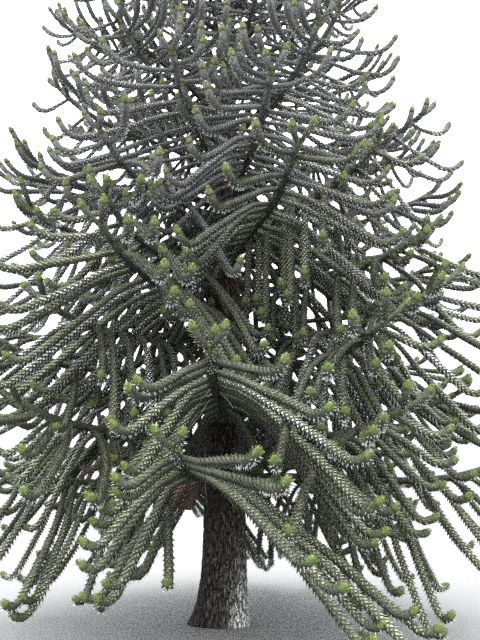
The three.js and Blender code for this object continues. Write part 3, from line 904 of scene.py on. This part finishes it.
def tube(line, shares, radii, sides):
    """A closed tube round a line, with a radius for each of its rings, or for each of their sides."""
    _, across, upright = square_to(line.azimuth_at(shares), line.elevation_at(shares))
    turns = 2 * math.pi * np.arange(sides)[:, None] / sides
    spokes = across[:, None, :] * np.cos(turns) + upright[:, None, :] * np.sin(turns)
    radii = np.broadcast_to(radii.reshape(len(shares), -1), (len(shares), sides))
    points = line.at(shares)[:, None, :] + spokes * radii[..., None]
    return points.reshape(-1, 3), tube_faces(len(shares), sides)


def tube_faces(rings, sides):
    ring, side = np.meshgrid(np.arange(rings - 1), np.arange(sides), indexing="ij")
    a = (ring * sides + side).ravel()
    b = (ring * sides + (side + 1) % sides).ravel()
    walls = np.concatenate([np.stack([a, b, b + sides], 1), np.stack([a, b + sides, a + sides], 1)])
    k = np.arange(1, sides - 1)
    last = (rings - 1) * sides
    foot = np.stack([0 * k, k + 1, k], 1)
    top = np.stack([last + 0 * k, last + k, last + k + 1], 1)
    return np.concatenate([walls, foot, top])


def grown_size(root_size, shares):
    """How thick a shoot is at some shares of its length, as a share of its full thickness."""
    return mix(root_size, 1, smooth(0, FULL_SIZE_AT, shares))


def year_necks(distance):
    """The shorter leaves where one year's growth ends and the next begins."""
    off = (distance + YEAR_GROWTH / 2) % YEAR_GROWTH - YEAR_GROWTH / 2
    return 1 - YEAR_NECK_DEPTH * np.exp(-((off / YEAR_NECK) ** 2))


def deal_leaves(points, upward, distance, nodes, mature, has_tip, dead):
    """Gives each mature leaf to the kind that fits its place on the shoot and its side of it; the upper
    side's tint is painted light, the underside's painted shade.
    """
    # Leaves of the underside take a darker tint as painted shade
    under = upward < UNDER_BELOW
    withered = distance < dead
    fresh = has_tip & (distance < YOUNG_LENGTH + FRESH_LENGTH * (1 + upward)) & (upward > UNDER_BELOW)
    # The pale fringe is a painted highlight; the inner shoots in the deepest shade go without it
    pale = (distance < FRINGE_LENGTH) & (upward < FRINGE_BELOW) & (mature != "deep")
    rest = ~withered & ~fresh & ~pale
    greener = (distance < GREENER_LENGTH) & (mature in ("slate", "grey"))
    # Leaves of the upper side take a tint of painted light, and so do those near a grey shoot's end, which
    # is greener
    painted_top_light_and_green_ends = (upward > UPPER_ABOVE) | greener & ~under
    shared = (
        ("dead", withered),
        ("fresh", fresh & ~withered),
        ("under", pale & ~withered & ~fresh),
        (PAINTED_TOP_LIGHT_AND_GREEN_ENDS[mature], rest & painted_top_light_and_green_ends),
        (mature, rest & ~painted_top_light_and_green_ends & ~under),
        (PAINTED_UNDER_SHADE[mature], rest & under),
    )
    for name, chosen in shared:
        if chosen.any():
            leaf[name].add(points[chosen].reshape(-1, 3), leaf_faces(int(chosen.sum())), nodes)


def add_mature_leaves(line, seed, nodes, mature, has_tip, thickness, root_size, step, dead):
    mature_length = line.length - YOUNG_LENGTH
    count = max(2, round(mature_length / step))
    shares = (np.arange(count) + 0.5) / count * (mature_length / line.length)
    distance = line.length * (1 - shares)
    end_size = mix(1, END_SIZE, smooth(*END_SIZE_LENGTHS, distance))
    swell = thickness * grown_size(root_size, shares) * end_size
    tilts = LEAF_TILT + LEAF_TILT_AT_ROOT * (1 - smooth(0, LEAF_TILT_EVEN_AT, shares))
    roots = CORE_RADIUS * LEAF_ROOTS * swell
    fringe = smooth(FRINGE_LENGTH, FRINGE_LENGTH / 2, distance)
    points, upward = leaves(line, shares, swell * year_necks(distance), tilts, roots, seed, fringe=fringe)
    deal_leaves(points, upward, np.repeat(distance, LEAVES_IN_RING), nodes, mature, has_tip, dead)


def add_tip_leaves(line, seed, nodes, tip, thickness):
    """The small leaves that close a shoot's end like a bud."""
    count = round(YOUNG_LENGTH / YOUNG_RING_STEP)
    part = (np.arange(count) + 0.5) / count
    shares = 1 - YOUNG_LENGTH * (1 - part) / line.length
    sizes = (YOUNG_SIZE - YOUNG_SIZE_LOSS * part**3) * thickness
    roots = CORE_RADIUS * np.sqrt(1 - YOUNG_CORE_LOSS * part**3) * YOUNG_ROOTS * thickness
    points, _ = leaves(line, shares, sizes, mix(*YOUNG_TILTS, part**2), roots, seed, YOUNG_SHAPE)
    leaf[tip].add(points.reshape(-1, 3), leaf_faces(len(points)), nodes)


def add_cores(line, nodes, core, has_tip, thickness, root_size):
    """The wood inside a shoot's leaves, dark as painted shade between them, and green in its young end."""
    ends = min(CORE_END, CORE_END_SHARE * line.length)
    green = line.length - (min(GREEN_CORE, line.length / 2) if has_tip else DEAD_CORE_END)
    steps = max(2, round((line.length - ends) / CORE_STEP))
    end_steps = max(1, round((green - line.length + ends) / CORE_END_STEP))
    inner = np.linspace(0, line.length - ends, steps + 1)
    outer = np.linspace(line.length - ends, green, end_steps + 1)
    parts = [(core, np.append(inner, outer[1:]), 1)]
    if has_tip:
        narrows, stops = GREEN_CORE_ENDS
        distances = np.array([green, line.length - narrows, line.length - stops])
        parts.append(("shoot_green", distances, GREEN_CORE_NARROWS))
    for name, distances, last in parts:
        shares = distances / line.length
        radii = CORE_RADIUS * thickness * grown_size(root_size, shares)
        radii[-1] *= last
        wood[name].add(*tube(line, shares, radii, CORE_SIDES), nodes)


def clothe(line, seed, nodes, mature, tip, core, root_size=ROOT_SIZE, level=0.0, step=None, dead=0.0):
    """A leafy shoot along a line, with a young tip of one kind of leaf, or with a dead end."""
    thickness = mix(1, THICKNESS_TOP, smooth(*THICKNESS_LEVELS, level))
    step = step or ring_step(level)
    has_tip = tip is not None
    add_mature_leaves(line, seed, nodes, mature, has_tip, thickness, root_size, step, dead)
    if has_tip:
        add_tip_leaves(line, seed + 7, nodes, tip, thickness)
    add_cores(line, nodes, core, has_tip, thickness, root_size)


def ring_step(level):
    return mix(RING_STEP_LOW, RING_STEP_TOP, smooth(*RING_STEP_LEVELS, level))


def scatter(a, b, c, keys=(127.1, 311.7, 74.7, 43758.5453)):
    """Seeded numbers from -1 to 1 for arrays of whole numbers."""
    x = np.sin(a * keys[0] + b * keys[1] + c * keys[2]) * keys[3]
    return 2 * (x - np.floor(x)) - 1


def value_noise(u, v, period, seed):
    """Smooth noise from -1 to 1 over a surface that closes on itself after period cells of u."""
    column, row = np.floor(u), np.floor(v)
    fu, fv = u - column, v - row
    fu, fv = fu * fu * (3 - 2 * fu), fv * fv * (3 - 2 * fv)

    def corner(dx, dy):
        return scatter((column + dx) % period, row + dy, seed)

    low = mix(corner(0, 0), corner(1, 0), fu)
    high = mix(corner(0, 1), corner(1, 1), fu)
    return mix(low, high, fv)


def plates(u, v, period, seed):
    """How deep inside its plate a point of the bark lies: 0 in the fissures, 1 well inside."""
    column, row = np.floor(u), np.floor(v)
    near = np.full(u.shape, 9.0)
    second = np.full(u.shape, 9.0)
    for dx in (-1, 0, 1):
        for dy in (-1, 0, 1):
            x, y = column + dx, row + dy
            middle_u = x + 0.5 + PLATE_JITTER * scatter(x % period, y, seed)
            middle_v = y + 0.5 + PLATE_JITTER * scatter(x % period, y, seed, PLATE_KEYS)
            away = np.hypot(u - middle_u, v - middle_v)
            second = np.minimum(second, np.maximum(near, away))
            near = np.minimum(near, away)
    return smooth(*FISSURE_EDGES, second - near)


def trunk_points(heights, sides):
    """Rings of points on the trunk at some heights, with the bark's relief."""
    z, azimuth = np.meshgrid(heights, 360 * np.arange(sides) / sides - 180, indexing="ij")

    def waves(cells, height, seed):
        """Smooth noise in a number of cells round the trunk, each of some height."""
        return value_noise(azimuth / 360 * cells, z / height, cells, seed)

    radius = trunk_radius(z)
    for facing, reach, sharpness in BUTTRESSES:
        toward = np.maximum(0, np.cos(np.radians(azimuth - facing)))
        radius = radius + reach * toward**sharpness * np.exp(-z / BUTTRESS_HEIGHT)
    columns = round(2 * math.pi * TRUNK_RADIUS / PLATE_WIDTH)
    plate = plates(azimuth / 360 * columns + 0.5 * waves(12, 0.25, 3), z / PLATE_HEIGHT, columns, 1)
    old = 1 - smooth(*OLD_BARK_FADES, z)
    relief = -FISSURE_DEPTH * mix(YOUNG_FISSURES, 1, old) * (1 - plate)
    relief += BULGE_DEPTH * old * waves(9, 0.3, 5)
    relief += GRAIN_DEPTH * waves(40, 0.05, 6)
    scars = z / SCAR_STEP + 0.5 * waves(7, 0.2, 8)
    relief += SCAR_DEPTH * (1 - old) * np.cos(2 * math.pi * scars)
    points = heading(azimuth, 0) * (radius + relief * smooth(0, FULL_RELIEF_RADIUS, radius))[..., None]
    points[..., 2] = z
    return points.reshape(-1, 3)


def trunk_mesh():
    """The trunk with its bark's relief. Low down its rings have twice as many points."""
    fine = np.arange(0, TRUNK_FINE_BELOW, TRUNK_FINE_STEP)
    coarse = np.append(np.arange(TRUNK_FINE_BELOW, TRUNK_TOP, TRUNK_COARSE_STEP), TRUNK_TOP)
    half = TRUNK_FINE_SIDES // 2
    points = np.vstack([trunk_points(fine, TRUNK_FINE_SIDES), trunk_points(coarse, half)])

    # The low part has no top, the high part no foot, and a seam joins every two sides to one
    start = len(fine) * TRUNK_FINE_SIDES
    low = tube_faces(len(fine), TRUNK_FINE_SIDES)[: -(TRUNK_FINE_SIDES - 2)]
    high = tube_faces(len(coarse), half)
    walls = 2 * (len(coarse) - 1) * half
    high = np.concatenate([high[:walls], high[walls + half - 2 :]]) + start
    k = np.arange(half)
    a = start - TRUNK_FINE_SIDES + 2 * k
    b = a + 1
    c = start - TRUNK_FINE_SIDES + (2 * k + 2) % TRUNK_FINE_SIDES
    here, there = start + k, start + (k + 1) % half
    seam = [np.stack(corners, 1) for corners in ((a, b, here), (b, there, here), (b, c, there))]
    return points, np.concatenate([low, high, *seam])


def bough_bark(bough):
    """A bough's bare wood from inside the trunk to its tip, with rings of leaf scars."""
    inner = BOUGH_STARTS_INSIDE * float(trunk_radius(bough.height)) / bough.reach
    line = bough_line(bough, inner, BOUGH_ENDS_AT, BOUGH_STEP)
    shares = np.linspace(0, 1, len(line.points))
    distance = shares * line.length
    root_radius = BOUGH_ROOT_RADIUS * mix(THINNEST_BOUGH, 1, bough.reach / CROWN_REACH)
    radii = mix(root_radius, BOUGH_TIP_RADIUS, shares**BOUGH_TAPER_POWER)
    radii = radii * (1 + COLLAR_SWELL * np.exp(-distance / COLLAR_LENGTH))
    row, side = np.meshgrid(distance / BOUGH_LUMP_STEP, np.arange(BOUGH_SIDES), indexing="ij")
    lumps = value_noise(side, row, BOUGH_SIDES, bough.whorl * 5 + bough.place)
    scars = np.cos(2 * math.pi * distance / BOUGH_SCAR_STEP)[:, None]
    radii = radii[:, None] * (1 + BOUGH_LUMPS * lumps + BOUGH_SCARS * scars)
    return tube(line, shares, radii, BOUGH_SIDES)


def dead_twig(start, azimuth, elevation, length, seed):
    """A thin bare twig that sags and kinks."""

    def azimuth_at(part):
        return azimuth + TWIG_SWERVE * np.sin(7 * part + seed) * part

    def elevation_at(part):
        return elevation - TWIG_SAG * part + TWIG_KINK * np.sin(9 * part + 2 * seed)

    line = grow(start, length, azimuth_at, elevation_at)
    shares = np.linspace(0, 1, 6)
    return line, tube(line, shares, TWIG_RADIUS * mix(1, TWIG_TIP_SIZE, shares), 3)


def make_mesh(kind):
    points = np.vstack(kind.points)
    triangles = np.vstack(kind.triangles)
    mesh = bpy.data.meshes.new(kind.name)
    mesh.vertices.add(len(points))
    mesh.vertices.foreach_set("co", points.astype(np.float32).ravel())
    mesh.loops.add(3 * len(triangles))
    mesh.loops.foreach_set("vertex_index", triangles.astype(np.int32).ravel())
    mesh.polygons.add(len(triangles))
    mesh.polygons.foreach_set("loop_start", np.arange(0, 3 * len(triangles), 3, dtype=np.int32))
    mesh.polygons.foreach_set("use_smooth", np.full(len(triangles), kind.even))
    mesh.update(calc_edges=True)
    mesh.materials.append(kind.material)
    return mesh


def add_object(name, data):
    made = bpy.data.objects.new(name, data)
    bpy.context.scene.collection.objects.link(made)
    return made


def lay_out(kind):
    piece = add_object(kind.name, make_mesh(kind))
    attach(piece, "root")
    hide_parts(*sorted(kind.nodes))


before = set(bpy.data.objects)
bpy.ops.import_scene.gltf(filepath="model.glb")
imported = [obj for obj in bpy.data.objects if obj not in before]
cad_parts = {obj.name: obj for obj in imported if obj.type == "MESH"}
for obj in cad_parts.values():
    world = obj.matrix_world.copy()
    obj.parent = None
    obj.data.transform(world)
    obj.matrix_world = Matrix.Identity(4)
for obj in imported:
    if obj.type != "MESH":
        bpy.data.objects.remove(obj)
cad_low, cad_high = (list(corner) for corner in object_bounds())
boughs = all_boughs()
kept = kept_boughs(boughs)
names = {(bough.whorl, bough.place): f"{i + 1:02d}" for i, bough in enumerate(kept)}


def nodes_of(bough):
    """The foliage node whose space a bough's own foliage shares."""
    nearest = min(kept, key=lambda other: apart(bough, other))
    return [f"foliage_{names[nearest.whorl, nearest.place]}"]


def limb_nodes_of(bough):
    """The node of a bough's own bare limb, where the solids have one."""
    name = names.get((bough.whorl, bough.place))
    return [f"bough_{name}"] if name and bough.height < OWN_LIMB_BELOW else []


def leaf_seed(bough):
    return 97 * bough.whorl + 13 * bough.place


def tint_of(bough, seed):
    """Low sprays are green, high ones mostly grey as a painted sheen of the sky's glare, and those that
    hang down far are green too.
    """
    x = bough.chance(seed + 400)
    grey = SHEEN_GREY_SHARE * smooth(*SHEEN_GREY_LEVELS, bough.level) if bough.droop <= HANG_LATER else 0
    if bough.chance(seed + 450) < grey:
        return "slate" if x < SLATE_UP_TO else "grey"
    if x < DARK_UP_TO:
        return "dark"
    return "mid" if x < MID_UP_TO else "light"


def core_of(bough):
    # Cores high up are grey like the painted sheen, lower ones darker; both paint the shade between the
    # leaves
    high = bough.level > HIGH_CORES_ABOVE and bough.droop <= HANG_LATER
    return "shoot_wood_high" if high else "shoot_wood"


def clothe_side_shoot(bough, shoot, line):
    # Inner shoots low in the crown are painted in shade: the darkest tint and the darker cores
    inner = shoot.share < SHOOTS_START_AT and bough.level < INNER_PAINTED_SHADE_BELOW
    died = np.linalg.norm(line.points[-1] - WITHERED_NEAR) < WITHERED_WITHIN
    dull = mix(DULL_TIPS_LOW, DULL_TIPS_TOP, smooth(*DULL_TIPS_LEVELS, bough.level))
    tip = "fresh" if bough.chance(shoot.seed + 550) < dull else "young"
    clothe(
        line,
        shoot.seed + leaf_seed(bough),
        nodes_of(bough),
        "deep" if inner else tint_of(bough, shoot.seed),
        None if died else tip,
        "shoot_wood" if inner else core_of(bough),
        level=bough.level,
        step=mix(INNER_RING_STEP, ring_step(bough.level), smooth(*INNER_FADE, shoot.share)),
        dead=WITHERED_LENGTH if died else 0.0,
    )


def clothe_stem(bough):
    clothe(
        bough_line(bough, STEM_STARTS_AT, 1, FINE_STEP),
        3 + leaf_seed(bough),
        nodes_of(bough),
        "dark",
        "young",
        core_of(bough),
        root_size=STEM_ROOT_SIZE,
        level=bough.level,
    )


def clothe_end_shoots(bough):
    """The shoots on both sides of a bough's tip."""
    rise = [mix(a, b, bough.level) for a, b in zip(END_SHOOT_ELEVATIONS_LOW, END_SHOOT_ELEVATIONS_TOP)]
    for k, (turn, length, share) in enumerate(END_SHOOTS):
        length *= (1 + END_SHOOT_VARIES * bough.swing(600 + k)) * mix(1, END_SHOOT_SIZE_TOP, bough.level)
        azimuth = bough.azimuth + turn * END_SHOOT_SPREAD
        line = grow_evenly(bough_point(bough, share), length, azimuth, rise, -END_SHOOT_SWING * turn)
        if space.holds(line.points):
            tint = tint_of(bough, 2 + k)
            seed = 17 * k + 5 + bough.whorl
            clothe(line, seed, nodes_of(bough), tint, "young", core_of(bough), level=bough.level)


def hang_dead_shoots(bough):
    """A clump of short dead shoots below a bough."""
    for k, (share, turn, *elevations) in enumerate(DEAD_SHOOTS):
        length = DEAD_SHOOT_LENGTH * mix(*DEAD_SHOOT_LENGTHS, chance(k, 0, 900))
        line = grow_evenly(bough_point(bough, share), length, bough.azimuth + turn, elevations)
        clothe(
            line, 900 + k, nodes_of(bough), "dark", None, "shoot_wood",
            root_size=DEAD_SHOOT_ROOT_SIZE, dead=line.length,
        )


def clothe_leader():
    foot = np.array([0, 0, TRUNK_TOP])
    lines = [grow_evenly(foot, LEADER_LENGTH, 0, (90, 90))]
    for k in range(LEADER_SHOOTS):
        azimuth = 360 / LEADER_SHOOTS * (k + 0.5)
        start = foot + [0, 0, LEADER_SHOOTS_START]
        lines.append(grow_evenly(start, LEADER_SHOOT_LENGTH, azimuth, LEADER_SHOOT_ELEVATIONS))
    for seed, line in enumerate(lines, start=1):
        clothe(line, seed, ["foliage_top"], "mid", "young", "shoot_wood")


def add_dead_twigs(bough):
    for k in range(TWIGS_ON_BOUGH):
        start = bough_point(bough, mix(*TWIG_SHARES, bough.chance(700 + k)))
        azimuth = bough.azimuth + 180 * bough.swing(720 + k)
        elevation = TWIG_ELEVATION_VARIES * bough.swing(740 + k) + TWIG_ELEVATION
        length = mix(*TWIG_LENGTHS, bough.chance(760 + k))
        line, made = dead_twig(start, azimuth, elevation, length, 5 * bough.whorl + bough.place + k)
        if space.holds(line.points):
            wood["dead_twigs"].add(*made, nodes_of(bough))


space = Space([cad_low[0], cad_low[1], LOWEST_TIP + SHOOT_HALF_THICKNESS], cad_high)
settled = settle(boughs, kept, space)
front = next(bough for bough, _ in settled if (bough.whorl, bough.place) == FRONT_BOUGH)
for bough, found in settled:
    for shoot, line in found:
        clothe_side_shoot(bough, shoot, line)
for bough, _ in settled:
    clothe_stem(bough)
    clothe_end_shoots(bough)
    wood["bough_bark"].add(*bough_bark(bough), limb_nodes_of(bough))
hang_dead_shoots(front)
clothe_leader()
trunk.add(*trunk_mesh(), ["trunk"])
for bough, _ in settled:
    if bough.height < TWIGS_BELOW:
        add_dead_twigs(bough)
for kind in [*leaf.values(), *wood.values(), trunk]:
    lay_out(kind)


def make_floor():
    half = FLOOR_SIZE / 2
    corners = [(-half, -half, 0), (half, -half, 0), (half, half, 0), (-half, half, 0)]
    mesh = bpy.data.meshes.new("floor")
    mesh.from_pydata(corners, [], [(0, 1, 2, 3)])
    mesh.materials.append(plain_material("floor", FLOOR_COLOUR, 0.9))
    add_object("floor", mesh)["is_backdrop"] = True


def make_sky():
    """A bright overcast sky, white at the horizon and brighter overhead."""
    world = bpy.data.worlds.new("sky")
    bpy.context.scene.world = world
    world.use_nodes = True
    tree = world.node_tree
    facing = tree.nodes.new("ShaderNodeTexCoord").outputs["Generated"]
    height = add_node(tree, "ShaderNodeSeparateXYZ", {0: facing}).outputs["Z"]
    background = tree.nodes["Background"]
    background.inputs["Color"].default_value = (*SKY_COLOUR, 1)
    light = map_range(tree, height, 0.0, SKY_FULL_AT, SKY_AT_HORIZON, SKY_OVERHEAD)
    tree.links.new(light, background.inputs["Strength"])


def make_sun():
    light = bpy.data.lights.new("overhead", "SUN")
    light.energy = SUN_STRENGTH
    light.angle = math.radians(SUN_WIDTH)
    add_object("overhead", light).rotation_euler = Vector(SUN_PLACE).to_track_quat("Z", "Y").to_euler()


def make_camera():
    data = bpy.data.cameras.new("camera")
    data.lens = CAMERA_LENS
    camera = add_object("camera", data)
    camera.location = Vector(CAMERA_PLACE)
    camera.rotation_euler = (math.radians(90 + CAMERA_PITCH), 0, 0)
    bpy.context.scene.camera = camera


make_floor()
make_sky()
make_sun()
make_camera()
bpy.context.scene.view_settings.view_transform = "Standard"
bpy.context.scene.cycles.use_denoising = False
